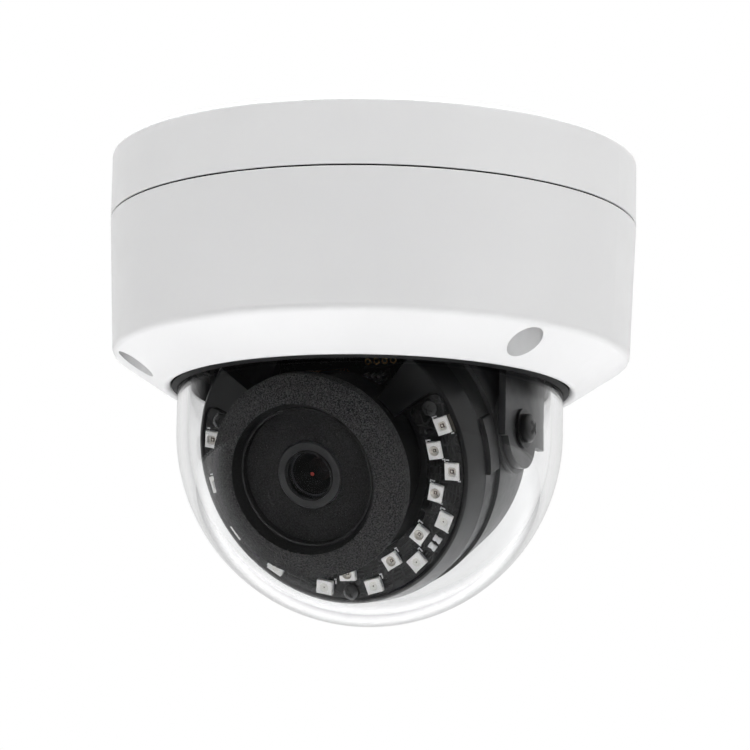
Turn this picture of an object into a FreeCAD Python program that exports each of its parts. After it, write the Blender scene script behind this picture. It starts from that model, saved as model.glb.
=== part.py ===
import FreeCAD, Part
import math
import os
import Sketcher
from FreeCAD import Placement, Rotation, Vector

# Ceiling-mounted dome camera. Millimetres. The origin is the centre of the face that
# lies on the ceiling: the camera hangs towards -Z and its lens looks towards -Y.

SIZES = {
    # housing
    "body_radius": 55.0, "base_height": 13.7, "base_wall": 2.5, "base_floor": 3.0,
    "seam_gap": 0.35, "edge_round": 1.0, "cable_hole_radius": 9.0, "cable_bore_radius": 3.5,
    "ceiling_circle_radius": 40.0, "ceiling_hole_radius": 2.3, "clock_angle": 3.5,
    "cover_foot_radius": 53.8, "cover_foot_drop": 42.1, "cover_wall": 2.4,
    "opening_radius": 41.4, "opening_drop": 50.3, "shelf_drop": 46.0, "shelf_radius": 44.0,
    "cover_screw_circle": 49.0, "cover_boss_radius": 4.7, "recess_radius": 3.6,
    "recess_floor_drop": 35.0, "screw_radius": 2.0, "running_clearance": 0.06,
    # dome
    "dome_radius": 40.1, "dome_wall": 2.5, "dome_drop": 57.76, "flange_radius": 43.6,
    "flange_thickness": 2.0, "gasket_thickness": 0.8, "clamp_thickness": 1.5,
    "clamp_radius": 43.8, "liner_radius": 39.6, "liner_wall": 1.2, "liner_height": 17.0,
    # pan
    "support_drop": 19.0, "plate_thickness": 2.0, "support_radius": 40.0, "hub_radius": 13.0,
    "hub_bore": 6.0, "leg_circle": 37.0, "leg_radius": 3.8, "yoke_drop": 21.4,
    "yoke_radius": 33.7, "yoke_half_width": 15.0, "arm_inner": 32.3, "arm_thickness": 1.4,
    "arm_front": 9.1, "arm_back": 13.5, "arm_foot_drop": 61.2, "eye_radius": 8.0,
    # tilt
    "tilt_drop": 58.6, "rest_tilt": 23.4, "cradle_bore": 30.25, "cradle_radius": 31.7,
    "cradle_half_width": 8.0, "ear_radius": 9.0, "ear_face": 32.05, "washer_radius": 3.95,
    "head_radius": 2.9,
    # camera ball, measured along its optical axis from the tilt axis
    "rim_radius": 29.3, "rim_front": 19.8, "skirt_radius": 31.0, "skirt_front": 14.4,
    "skirt_back": 8.3, "sleeve_radius": 29.95, "sleeve_bore": 27.6, "shell_wall": 1.6,
    "ball_radius": 32.0, "pocket_radius": 28.6, "pocket_floor": 18.2, "pocket_angle": 118.5,
    "moat_radius": 20.4, "moat_floor": 15.0, "tube_radius": 17.4, "notch_angle": 135.0,
    "post_circle": 24.6, "post_radius": 2.5, "post_angle": 110.0,
    "board_inner": 20.7, "board_outer": 28.2, "board_front": 19.4, "board_angle": 117.0,
    "outer_led_circle": 26.2, "inner_led_circle": 23.1, "led_length": 3.5, "led_width": 2.8,
    "led_height": 1.1,
    "foam_radius": 20.7, "foam_mouth": 15.1, "foam_back": 27.5, "foam_front": 33.1,
    "lip_radius": 14.0, "lip_front": 31.1, "lip_wall": 0.4, "floor_front": 29.7,
    "collar_radius": 6.75, "collar_front": 30.1, "lens_radius": 4.55, "thread_radius": 6.0,
    "sensor_board_half": 18.0, "carriage_travel": 7.5,
}

doc = FreeCAD.newDocument("dome_camera")
sheet = doc.addObject("Spreadsheet::Sheet", "Sizes")


class Size:
    """A length that carries the sheet formula it is worked out from."""

    def __init__(self, value, formula=None):
        self.value = float(value)
        self.formula = formula or repr(float(value))

    def joined(self, sign, other, value):
        return Size(value, "(%s %s %s)" % (self.formula, sign, other.formula))

    def __add__(self, other):
        other = size(other)
        return self.joined("+", other, self.value + other.value)

    def __sub__(self, other):
        other = size(other)
        return self.joined("-", other, self.value - other.value)

    def __mul__(self, other):
        other = size(other)
        return self.joined("*", other, self.value * other.value)

    def __truediv__(self, other):
        other = size(other)
        return self.joined("/", other, self.value / other.value)

    def __radd__(self, other):
        return size(other) + self

    def __rsub__(self, other):
        return size(other) - self

    def __rmul__(self, other):
        return size(other) * self

    def __neg__(self):
        return size(0) - self

    @property
    def bound(self):
        return "Sizes." in self.formula


def size(number):
    return number if isinstance(number, Size) else Size(number)


class Named:
    """The driving dimensions by name."""


for row, (alias, number) in enumerate(SIZES.items(), start=1):
    sheet.set("A%d" % row, alias)
    sheet.set("B%d" % row, str(number))
    sheet.setAlias("B%d" % row, alias)
    setattr(Named, alias, Size(number, "Sizes." + alias))
doc.recompute()
d = Named

BALL = Placement(Vector(0, 0, -d.tilt_drop.value), Rotation(Vector(1, 0, 0), 90 + d.rest_tilt.value))
HOUSING = Placement()
TOUCH = 0.02        # left between two faces that rest on each other
nodes = []


# ---------------------------------------------------------------- building blocks

def bind(thing, prop, length):
    """Sets a property and ties it to the sheet where its size comes from there."""
    length = size(length)
    if length.bound:
        thing.setExpression(prop, length.formula)
    elif not prop.startswith("Placement"):
        setattr(thing, prop, length.value)


def keep(thing, label, frame=HOUSING):
    """Names a finished sub-part and puts it in its frame."""
    if frame is not HOUSING:
        if not thing.Placement.isIdentity():
            thing = group(thing)
        thing.Placement = frame
    thing.Label = label
    nodes.append(thing)
    return thing


def placed(thing, at, axis=(0, 0, 1)):
    """Puts a primitive at a point, its own Z turned to the axis."""
    lengths = [size(part) for part in at]
    turn = Rotation(Vector(0, 0, 1), Vector(*axis))
    thing.Placement = Placement(Vector(*[part.value for part in lengths]), turn)
    for letter, part in zip("xyz", lengths):
        bind(thing, "Placement.Base." + letter, part)
    return thing


def cylinder(radius, height, at=(0, 0, 0), axis=(0, 0, 1), angle=360):
    thing = doc.addObject("Part::Cylinder", "Cylinder")
    bind(thing, "Radius", radius)
    bind(thing, "Height", height)
    bind(thing, "Angle", angle)
    return placed(thing, at, axis)


def cone(radius_low, radius_high, height, at=(0, 0, 0), axis=(0, 0, 1)):
    thing = doc.addObject("Part::Cone", "Cone")
    bind(thing, "Radius1", radius_low)
    bind(thing, "Radius2", radius_high)
    bind(thing, "Height", height)
    return placed(thing, at, axis)


def ball(radius, at=(0, 0, 0)):
    thing = doc.addObject("Part::Sphere", "Sphere")
    bind(thing, "Radius", radius)
    return placed(thing, at)


def box(length, width, height, at=(0, 0, 0)):
    """A box whose point `at` is the middle of its lowest face."""
    thing = doc.addObject("Part::Box", "Box")
    for prop, extent in (("Length", length), ("Width", width), ("Height", height)):
        bind(thing, prop, extent)
    return placed(thing, (at[0] - size(length) / 2, at[1] - size(width) / 2, at[2]))


def sector(radius, height, low, half_angle, middle=270):
    """A pie slice about Z, half_angle each side of the middle direction."""
    thing = cylinder(radius, height, (0, 0, low), angle=2 * size(half_angle))
    thing.Placement.Rotation = Rotation(Vector(0, 0, 1), middle - size(half_angle).value)
    return thing


def fuse(*parts):
    thing = doc.addObject("Part::MultiFuse", "Fusion")
    thing.Shapes = list(parts)
    return thing


def cut(base, *tools):
    thing = doc.addObject("Part::Cut", "Cut")
    thing.Base = base
    thing.Tool = tools[0] if len(tools) == 1 else fuse(*tools)
    return thing


def common(*parts):
    thing = doc.addObject("Part::MultiCommon", "Common")
    thing.Shapes = list(parts)
    return thing


def group(*parts):
    """Separate identical solids that share one node."""
    thing = doc.addObject("Part::Compound", "Group")
    thing.Links = list(parts)
    return thing


def rounded(thing, radius, chosen):
    """Rounds the edges that `chosen` picks."""
    doc.recompute()
    edges = [number for number, edge in enumerate(thing.Shape.Edges, start=1) if chosen(edge)]
    result = doc.addObject("Part::Fillet", "Rounded")
    result.Base = thing
    result.Edges = [(number, radius, radius) for number in edges]
    return result


def is_circle(edge, radius, height, tolerance=0.02):
    curve = edge.Curve
    return (isinstance(curve, Part.Circle) and abs(curve.Radius - size(radius).value) < tolerance
            and abs(curve.Center.z - size(height).value) < tolerance)


def is_upright(edge, low, high):
    ends = sorted(vertex.Z for vertex in edge.Vertexes)
    return (len(ends) == 2 and abs(ends[0] - size(low).value) < 0.01
            and abs(ends[1] - size(high).value) < 0.01 and isinstance(edge.Curve, Part.Line))


def tie(sketch, kind, index, end, length):
    """A distance of a sketch point from the origin, bound to the sheet."""
    number = sketch.addConstraint(Sketcher.Constraint(kind, -1, 1, index, end, length.value))
    if length.bound:
        sketch.setExpression("Constraints[%d]" % number, length.formula)


def outline(body, points):
    """A closed outline on the body's XZ plane; a third value in a point is the radius of the
    arc that leads to it, positive where the arc turns to the left."""
    plane = [item for item in body.Origin.OriginFeatures if item.Role == "XZ_Plane"][0]
    sketch = body.newObject("Sketcher::SketchObject", "Outline")
    sketch.AttachmentSupport = (plane, [""])
    sketch.MapMode = "FlatFace"
    corners = [(size(point[0]), size(point[1])) for point in points]
    ends = []
    for index, point in enumerate(points):
        start = Vector(corners[index - 1][0].value, corners[index - 1][1].value, 0)
        end = Vector(corners[index][0].value, corners[index][1].value, 0)
        if len(point) == 2:
            sketch.addGeometry(Part.LineSegment(start, end), False)
            ends.append((1, 2))
            continue
        radius = size(point[2])
        chord = end - start
        side = Vector(-chord.y, chord.x, 0).normalize()
        rise = math.sqrt(radius.value ** 2 - (chord.Length / 2) ** 2)
        turn = 1 if radius.value > 0 else -1
        centre = (start + end) / 2 + side * rise * turn
        angles = [math.atan2(spot.y - centre.y, spot.x - centre.x) for spot in (start, end)]
        circle = Part.Circle(centre, Vector(0, 0, 1), abs(radius.value))
        sketch.addGeometry(Part.ArcOfCircle(circle, *angles[::turn]), False)
        ends.append((1, 2) if turn > 0 else (2, 1))
        number = sketch.addConstraint(Sketcher.Constraint("Radius", index, abs(radius.value)))
        if radius.bound:
            sketch.setExpression("Constraints[%d]" % number, (radius * turn).formula)
    for index, corner in enumerate(corners):
        following = (index + 1) % len(corners)
        sketch.addConstraint(
            Sketcher.Constraint("Coincident", index, ends[index][1], following, ends[following][0]))
        tie(sketch, "DistanceX", index, ends[index][1], corner[0])
        tie(sketch, "DistanceY", index, ends[index][1], corner[1])
    return sketch


def revolved(points, name="Body"):
    """A PartDesign body turned about Z from an outline of (radius, height) points."""
    body = doc.addObject("PartDesign::Body", name)
    sketch = outline(body, points)
    turn = body.newObject("PartDesign::Revolution", "Turn")
    turn.Profile = sketch
    turn.ReferenceAxis = (sketch, ["V_Axis"])
    turn.Angle = 360
    sketch.Visibility = False
    return body


def bore_sketch(body, height, circles):
    """Circles (x, y, radius) on a plane of the body at the given height."""
    plane = [item for item in body.Origin.OriginFeatures if item.Role == "XY_Plane"][0]
    sketch = body.newObject("Sketcher::SketchObject", "Circles")
    sketch.AttachmentSupport = (plane, [""])
    sketch.MapMode = "FlatFace"
    height = size(height)
    sketch.AttachmentOffset = Placement(Vector(0, 0, height.value), Rotation())
    if height.bound:
        sketch.setExpression("AttachmentOffset.Base.z", height.formula)
    for index, (across, along, radius) in enumerate(circles):
        spot = (size(across), size(along))
        radius = size(radius)
        middle = Vector(spot[0].value, spot[1].value, 0)
        sketch.addGeometry(Part.Circle(middle, Vector(0, 0, 1), radius.value), False)
        number = sketch.addConstraint(Sketcher.Constraint("Radius", index, radius.value))
        if radius.bound:
            sketch.setExpression("Constraints[%d]" % number, radius.formula)
        tie(sketch, "DistanceX", index, 3, spot[0])
        tie(sketch, "DistanceY", index, 3, spot[1])
    return sketch


def repeated(body, feature, count):
    """Repeats a feature evenly about Z."""
    if count == 1:
        return
    pattern = body.newObject("PartDesign::PolarPattern", "Pattern")
    pattern.Originals = [feature]
    axis = [item for item in body.Origin.OriginFeatures if item.Role == "Z_Axis"][0]
    pattern.Axis = (axis, [""])
    pattern.Angle = 360
    pattern.Occurrences = count
    body.Tip = pattern


def drill(body, low, depth, circles, count=1):
    """Pockets upwards from the height `low`, repeated about Z."""
    feature = body.newObject("PartDesign::Pocket", "Bore")
    feature.Profile = bore_sketch(body, low, circles)
    bind(feature, "Length", depth)
    feature.Reversed = True
    repeated(body, feature, count)


def raise_pads(body, low, height, circles, count=1):
    """Pads upwards from the height `low`, repeated about Z."""
    feature = body.newObject("PartDesign::Pad", "Boss")
    feature.Profile = bore_sketch(body, low, circles)
    bind(feature, "Length", height)
    repeated(body, feature, count)


def polar(radius, angle):
    """The point at an angle that is counted from -Y towards +X."""
    turn = math.radians(size(angle).value)
    return radius * math.sin(turn), -(radius * math.cos(turn))


def round_edges(body, radius, chosen):
    doc.recompute()
    base = body.Tip
    names = ["Edge%d" % number for number, edge in enumerate(base.Shape.Edges, 1) if chosen(edge)]
    feature = body.newObject("PartDesign::Fillet", "Round")
    feature.Base = (base, names)
    bind(feature, "Radius", radius)
    body.Tip = feature


def screw(at, axis, head_radius, head_height, shank_radius, shank_length, recess=0.9):
    """A cross-recess screw: `at` is the seat under its head, and the head rises along the axis."""
    along = Vector(*axis)
    spot = [size(part) for part in at]
    head = cylinder(head_radius, head_height, spot, axis)
    tail = [part - letter * size(shank_length) for part, letter in zip(spot, axis)]
    shank = cylinder(shank_radius, size(shank_length) + 0.1, tail, axis)
    depth = size(head_height) - recess
    top = [part + letter * depth for part, letter in zip(spot, axis)]
    body = fuse(head, shank)
    slots = []
    span = 1.25 * size(head_radius).value
    for turn in (0, 90):
        slot = doc.addObject("Part::Box", "Slot")
        slot.Length = span
        slot.Width = span * 0.2
        slot.Height = recess + 0.5
        frame = Placement(Vector(*[part.value for part in top]), Rotation(Vector(0, 0, 1), along))
        middle = Placement(Vector(-span / 2, -span * 0.1, 0), Rotation())
        slot.Placement = frame * Placement(Vector(), Rotation(Vector(0, 0, 1), turn)) * middle
        slots.append(slot)
    return cut(body, *slots)


# ---------------------------------------------------------------- housing

SCREW_TURNS = [60 + d.clock_angle, -60 + d.clock_angle, 180 + d.clock_angle]
CEILING_TURNS = [d.clock_angle, 120 + d.clock_angle, 240 + d.clock_angle]


BOSS_CLEARANCE = 0.4
TAPPED_M3 = 1.55
TAPPED_M2 = 1.05
CLEAR_M2 = 1.25


def mounting_base():
    groove_outer = d.body_radius - 0.4
    groove_inner = groove_outer - 1.7
    boss_radius = 4.5
    thread_depth = 9.5
    leg_thread_depth = 2.0
    rim = -d.base_height
    body = revolved([
        (d.cable_hole_radius, 0), (d.cable_hole_radius, -d.base_floor),
        (d.body_radius - d.base_wall, -d.base_floor), (d.body_radius - d.base_wall, rim),
        (groove_inner, rim), (groove_inner, rim + d.seam_gap),
        (groove_outer, rim + d.seam_gap), (groove_outer, rim),
        (d.body_radius, rim), (d.body_radius, 0)], "MountingBase")
    boss = polar(d.cover_screw_circle, SCREW_TURNS[0])
    boss_height = d.base_height - d.base_floor - BOSS_CLEARANCE
    raise_pads(body, -d.base_floor - boss_height, boss_height, [(*boss, boss_radius)], 3)
    drill(body, -d.base_floor - boss_height, thread_depth,
          [(*boss, d.screw_radius + d.running_clearance)], 3)
    drill(body, -d.base_floor, d.base_floor,
          [(*polar(d.ceiling_circle_radius, CEILING_TURNS[0]), d.ceiling_hole_radius)], 3)
    drill(body, -d.base_floor, leg_thread_depth,
          [(*polar(d.leg_circle, SCREW_TURNS[0]), TAPPED_M3)], 3)
    round_edges(body, d.edge_round, lambda edge: is_circle(edge, d.body_radius, 0))
    keep(body, "mounting_base")


def cable_grommet():
    floor = -d.base_floor
    snout = floor - 4.0
    flange_edge = floor - 1.6
    flange_width = 2.5
    flange = d.cable_hole_radius + flange_width
    neck = d.cable_hole_radius - 0.05
    keep(revolved([
        (d.cable_bore_radius, 0), (d.cable_bore_radius, snout),
        (d.cable_bore_radius + flange_width, snout), (flange, flange_edge),
        (flange, floor - TOUCH), (neck, floor - TOUCH), (neck, 0)], "Grommet"), "cable_grommet")


def base_gasket():
    outer = d.body_radius - 0.45
    inner = outer - 1.6
    top = -d.base_height + d.seam_gap - TOUCH
    foot = -d.base_height - d.seam_gap + 0.05
    keep(revolved([(inner, top), (inner, foot), (outer, foot), (outer, top)], "Gasket"),
         "base_gasket")


BOARD_TOP = -8.0
BOARD_BOTTOM = -9.6
STANDOFFS = [(x, y) for x in (-22, 22) for y in (-18, 18)]
CONNECTOR_SPOT = (-12, -14)
CARD_SPOT = (0, 14.5)
RESET_SPOT = (14, -18.2)
CAPACITOR_SPOTS = [(17, 12), (-18, 12)]
PIN_PITCH = 1.4


def power_board():
    board = box(52, 44, BOARD_TOP - BOARD_BOTTOM, (0, 0, BOARD_BOTTOM))
    holes = [cylinder(1.3, 4, (x, y, BOARD_BOTTOM - 1)) for x, y in STANDOFFS]
    window = cylinder(8, 4, (0, 0, BOARD_BOTTOM - 1))
    keep(cut(board, window, *holes), "power_board")
    height = -d.base_floor - TOUCH - BOARD_TOP
    posts = [cut(cylinder(2.5, height, (x, y, BOARD_TOP)),
                 cylinder(CLEAR_M2, height, (x, y, BOARD_TOP))) for x, y in STANDOFFS]
    keep(group(*posts), "board_standoffs")
    screws = [screw((x, y, BOARD_BOTTOM), (0, 0, -1), 2.4, 1.6, 1.2, 5.5) for x, y in STANDOFFS]
    keep(group(*screws), "board_standoff_screws")


def board_parts():
    below = BOARD_BOTTOM
    across, along = CONNECTOR_SPOT
    housing = box(12, 8, 6.5, (across, along, below - 6.5))
    mouth = box(10, 6, 5.5, (across, along, below - 6.6))
    keep(cut(housing, mouth), "network_connector")
    first_pin = across - 2.5 * PIN_PITCH
    pins = [box(0.5, 0.5, 3.6, (first_pin + PIN_PITCH * step, along, below - 4.72))
            for step in range(6)]
    keep(group(*pins), "network_connector_pins")
    can_radius = 4.0
    can_foot = below - 7.0
    cans = [cylinder(can_radius, 7.0, (x, y, can_foot)) for x, y in CAPACITOR_SPOTS]
    keep(group(*[rounded(can, 0.6, lambda edge: is_circle(edge, can_radius, can_foot))
                 for can in cans]), "board_capacitors")
    across, along = CARD_SPOT
    keep(cut(box(13, 14, 1.8, (across, along, below - 1.8)),
             box(11.2, 14, 0.9, (across, along + 1, below - 1.4))), "memory_card_slot")
    button_radius = 1.65
    keep(cut(box(6, 6, 3.6, (*RESET_SPOT, below - 3.6)),
             cylinder(button_radius + 0.1, 3.0, (*RESET_SPOT, below - 3.7))), "reset_switch")
    keep(cylinder(button_radius, 3.0, (*RESET_SPOT, below - 4.6)), "reset_button")


# ---------------------------------------------------------------- cover and dome

def slope_drop(radius):
    """How far below the ceiling the cover's underside is at a radius."""
    fall = (d.opening_drop - d.cover_foot_drop) / (d.cover_foot_radius - d.opening_radius)
    return d.cover_foot_drop + (d.cover_foot_radius - radius) * fall


def cover_shell():
    """The painted cover: a rounded outer form, hollowed so that its screw bosses stay."""
    top = -d.base_height - d.seam_gap
    slope_wall = 2.88
    foot_inner = d.cover_foot_radius - d.cover_wall
    wall_inner = d.body_radius - d.cover_wall
    form = revolved([
        (d.body_radius, top), (d.cover_foot_radius, -d.cover_foot_drop),
        (d.opening_radius, -d.opening_drop), (d.opening_radius, top)], "CoverForm")
    round_edges(form, 2.0, lambda edge: is_circle(edge, d.cover_foot_radius, -d.cover_foot_drop))
    round_edges(form, 1.3, lambda edge: is_circle(edge, d.opening_radius, -d.opening_drop))
    round_edges(form, 0.25, lambda edge: is_circle(edge, d.body_radius, top))
    inside = d.opening_radius - 1
    hollow = revolved([
        (inside, -d.shelf_drop), (d.shelf_radius, -d.shelf_drop),
        (d.shelf_radius, slope_wall - slope_drop(d.shelf_radius)),
        (foot_inner, slope_wall - slope_drop(foot_inner)), (wall_inner, top),
        (wall_inner, top + 1), (inside, top + 1)], "CoverHollow")
    bosses = []
    bores = []
    for turn in SCREW_TURNS:
        x, y = polar(d.cover_screw_circle - 0.8, turn)
        bosses.append(cylinder(d.cover_boss_radius, d.opening_drop + top - 2.5,
                               (x, y, -d.opening_drop)))
        x, y = polar(d.cover_screw_circle, turn)
        bores.append(cylinder(d.screw_radius + 0.15, 40, (x, y, -d.opening_drop)))
        bores.append(cylinder(d.recess_radius, d.opening_drop - d.recess_floor_drop,
                              (x, y, -d.opening_drop)))
    for turn in CLAMP_TURNS:
        x, y = polar(CLAMP_CIRCLE, turn)
        bosses.append(cylinder(CLAMP_LUG, 4.0, (x, y, CLAMP_SEAT - 4.05)))
        bores.append(cylinder(TAPPED_M2, 3.0, (x, y, CLAMP_SEAT - 2.6)))
    seat = cylinder(d.shelf_radius, 40, (0, 0, -d.shelf_drop))
    keep(cut(form, cut(hollow, cut(fuse(*bosses), seat)), *bores), "cover_shell")
    cover_screw_parts(top - 2.4)


def cover_screw_parts(ring_foot):
    """The long cover screws, and the rings that keep them in the cover when it comes off."""
    head_radius = 3.2
    ring_thickness = 0.8
    screws = []
    rings = []
    for turn in SCREW_TURNS:
        spot = polar(d.cover_screw_circle, turn)
        screws.append(screw((*spot, -d.recess_floor_drop - TOUCH), (0, 0, -1), head_radius, 2.6,
                            d.screw_radius, 30.5, 1.4))
        rings.append(cut(cylinder(head_radius, ring_thickness, (*spot, ring_foot)),
                         cylinder(d.screw_radius + 0.03, ring_thickness, (*spot, ring_foot))))
    keep(group(*screws), "cover_screws")
    keep(group(*rings), "screw_retaining_rings")


CLAMP_SEAT = (d.gasket_thickness + d.flange_thickness - d.shelf_drop)
CLAMP_CIRCLE = 45.2
CLAMP_LUG = 2.0
CLAMP_TURNS = CEILING_TURNS


def dome_bubble():
    inner = d.dome_radius - d.dome_wall
    seat = d.gasket_thickness - d.shelf_drop
    top = seat + d.flange_thickness
    middle = -d.dome_drop
    keep(revolved([
        (0, middle - d.dome_radius), (d.dome_radius, middle, d.dome_radius),
        (d.dome_radius, seat), (d.flange_radius, seat), (d.flange_radius, top), (inner, top),
        (inner, middle), (0, middle - inner, -inner)], "Dome"), "dome_bubble")


def dome_seal():
    seat = -d.shelf_drop + TOUCH
    top = seat + d.gasket_thickness - 2 * TOUCH
    inner = d.dome_radius + 0.05
    lip = d.opening_radius - 0.08
    keep(revolved([(inner, top), (inner, -d.opening_drop + 0.9), (lip, -d.opening_drop + 1.4),
                   (lip, seat), (d.flange_radius, seat), (d.flange_radius, top)], "Seal"),
         "dome_gasket")


def dome_clamp():
    """The ring that presses the dome's flange down, and the black liner that it holds."""
    low = CLAMP_SEAT + TOUCH
    lip = 1.2
    inner = d.liner_radius - d.liner_wall
    ring = revolved([(inner, low), (inner, low + d.clamp_thickness),
                     (d.clamp_radius, low + d.clamp_thickness), (d.clamp_radius, low)], "Clamp")
    foot = low + d.clamp_thickness + TOUCH
    liner = revolved([(inner, foot), (inner, foot + d.liner_height),
                      (d.liner_radius, foot + d.liner_height), (d.liner_radius, foot + lip),
                      (d.clamp_radius, foot + lip), (d.clamp_radius, foot)], "Liner")
    lug = polar(CLAMP_CIRCLE, CLAMP_TURNS[0])
    raise_pads(ring, low, d.clamp_thickness, [(*lug, CLAMP_LUG)], 3)
    raise_pads(liner, foot, lip, [(*lug, CLAMP_LUG)], 3)
    drill(ring, low - 1, 4, [(*lug, CLEAR_M2)], 3)
    drill(liner, foot - 1, 4, [(*lug, CLEAR_M2)], 3)
    keep(ring, "dome_clamp_ring")
    keep(liner, "inner_liner")
    screws = [screw((*polar(CLAMP_CIRCLE, turn), foot + lip + TOUCH), (0, 0, 1), 2.0, 1.3, 1.0, 4.6)
              for turn in CLAMP_TURNS]
    keep(group(*screws), "dome_clamp_screws")


# ---------------------------------------------------------------- pan

SHOULDER_RADIUS = 2.0
HEAD_HEIGHT = 1.75


def pan_support():
    top = -d.support_drop
    low = top - d.plate_thickness
    plate = cylinder(d.support_radius, d.plate_thickness, (0, 0, low))
    legs = []
    reset_hole = 3.2
    head_depth = 1.9
    bores = [cylinder(d.hub_radius, 4, (0, 0, low - 1)),
             cylinder(reset_hole, 4, (*RESET_SPOT, low - 1))]
    screws = []
    for turn in SCREW_TURNS:
        x, y = polar(d.leg_circle, turn)
        legs.append(cylinder(d.leg_radius, d.support_drop - d.base_floor - TOUCH, (x, y, top)))
        bores.append(cylinder(1.6, 20, (x, y, low - 1)))
        bores.append(cylinder(2.95, 1 + head_depth, (x, y, low - 1)))
        screws.append(screw((x, y, low + head_depth - TOUCH), (0, 0, -1), 2.75, 1.8, 1.5, 17.6))
    keep(cut(fuse(plate, *legs), *bores), "pan_support")
    keep(group(*screws), "pan_support_screws")


RETAINER_SPOTS = [polar(9.5, turn) for turn in (60, 180, 300)]
RETAINER_FOOT = -18.5


def yoke_bracket():
    top = -d.yoke_drop
    low = top - d.plate_thickness
    bar = box(2 * d.yoke_radius, 2 * d.yoke_half_width, d.plate_thickness, (0, 0, low))
    plate = common(bar, cylinder(d.yoke_radius, d.plate_thickness, (0, 0, low)))
    hub = cylinder(d.hub_radius - 0.08, d.yoke_drop + RETAINER_FOOT - 0.05, (0, 0, top))
    hollow = cylinder(d.hub_bore, 8, (0, 0, low - 1))
    width = d.arm_front + d.arm_back
    parts = [plate, hub]
    holes = [hollow]
    for side in (-1, 1):
        middle = side * (d.arm_inner + d.arm_thickness / 2)
        arm = box(d.arm_thickness, width, d.arm_foot_drop + top,
                  (middle, (d.arm_back - d.arm_front) / 2, -d.arm_foot_drop))
        eye = cylinder(d.eye_radius, d.arm_thickness,
                       (middle - d.arm_thickness / 2, 0, -d.tilt_drop), (1, 0, 0))
        parts += [arm, eye]
        holes.append(cylinder(SHOULDER_RADIUS + d.running_clearance, 4,
                              (middle - 2, 0, -d.tilt_drop), (1, 0, 0)))
    for spot in RETAINER_SPOTS:
        holes.append(cylinder(TAPPED_M2, 5, (*spot, top + 0.1)))
    keep(cut(fuse(*parts), *holes), "yoke_bracket")


def pan_retainer():
    """The disc that hangs the yoke on its support, and the friction washer between the two."""
    thickness = 1.5
    ring = cylinder(16, thickness, (0, 0, RETAINER_FOOT))
    holes = [cylinder(d.hub_bore + 0.5, 3, (0, 0, RETAINER_FOOT - 1))]
    screws = []
    for spot in RETAINER_SPOTS:
        holes.append(cylinder(CLEAR_M2, 3, (*spot, RETAINER_FOOT - 1)))
        screws.append(screw((*spot, RETAINER_FOOT + thickness + TOUCH), (0, 0, 1), 2.0, 1.3, 1.0, 4.0))
    keep(cut(ring, *holes), "pan_retainer")
    keep(group(*screws), "pan_retainer_screws")
    low = -d.support_drop + 0.05
    washer_height = 0.35
    keep(cut(cylinder(15.8, washer_height, (0, 0, low)),
             cylinder(d.hub_radius + 0.1, washer_height, (0, 0, low))), "pan_friction_washer")


# ---------------------------------------------------------------- tilt

def cradle():
    """The ring round the ball: on each side a thin ear outside it and a thicker lug through it."""
    half = d.cradle_half_width
    ear_root = 31.3
    lug_root = 29.0
    ring = revolved([(d.cradle_bore, -half), (d.cradle_radius, -half), (d.cradle_radius, half),
                     (d.cradle_bore, half)], "Cradle")
    ears = []
    tapped = []
    for side in (-1, 1):
        for root, radius in ((ear_root, d.ear_radius), (lug_root, half - 0.5)):
            start = root if side > 0 else -d.ear_face
            ears.append(cylinder(radius, d.ear_face - root, (start, 0, 0), (1, 0, 0)))
        tapped.append(cylinder(TAPPED_M3, 6, (side * 31 - 3, 0, 0), (1, 0, 0)))
    bore = cylinder(d.cradle_bore, 2 * half + 2, (0, 0, -half - 1))
    keep(cut(fuse(ring, *ears), bore, *tapped), "cradle_ring", BALL)


def tilt_hardware():
    """The two shoulder screws that the ball tilts on, each over a flat washer."""
    face = d.arm_inner + d.arm_thickness
    washer_gap = 0.04
    washer = 0.52
    shoulder_length = 2.2
    bolts = []
    washers = []
    for side in (1, -1):
        seat = side * (face + washer_gap + washer + washer_gap)
        bolt = screw((seat, 0, 0), (side, 0, 0), d.head_radius, HEAD_HEIGHT, 1.5, 4.0, 1.2)
        inside = seat - shoulder_length if side > 0 else seat
        shoulder = cylinder(SHOULDER_RADIUS, shoulder_length, (inside, 0, 0), (1, 0, 0))
        bolts.append(fuse(rounded_head(bolt, seat, side), shoulder))
        low = face + washer_gap if side > 0 else -face - washer_gap - washer
        washers.append(cut(cylinder(d.washer_radius, washer, (low, 0, 0), (1, 0, 0)),
                           cylinder(SHOULDER_RADIUS + 0.03, washer, (low, 0, 0), (1, 0, 0))))
    keep(group(*bolts), "tilt_screws", BALL)
    keep(group(*washers), "tilt_washers", BALL)


def rounded_head(bolt, seat, side):
    top = seat.value + HEAD_HEIGHT * side
    return rounded(bolt, 0.9, lambda edge: isinstance(edge.Curve, Part.Circle)
                   and abs(edge.Curve.Radius - d.head_radius.value) < 0.01
                   and abs(edge.Curve.Center.x - top) < 0.01)


# ---------------------------------------------------------------- camera ball

POST_TURNS = [0, d.post_angle, -d.post_angle]
BOARD_SCREWS = [(26.9, 0), (25.0, 112.6), (25.0, -112.6)]


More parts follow.
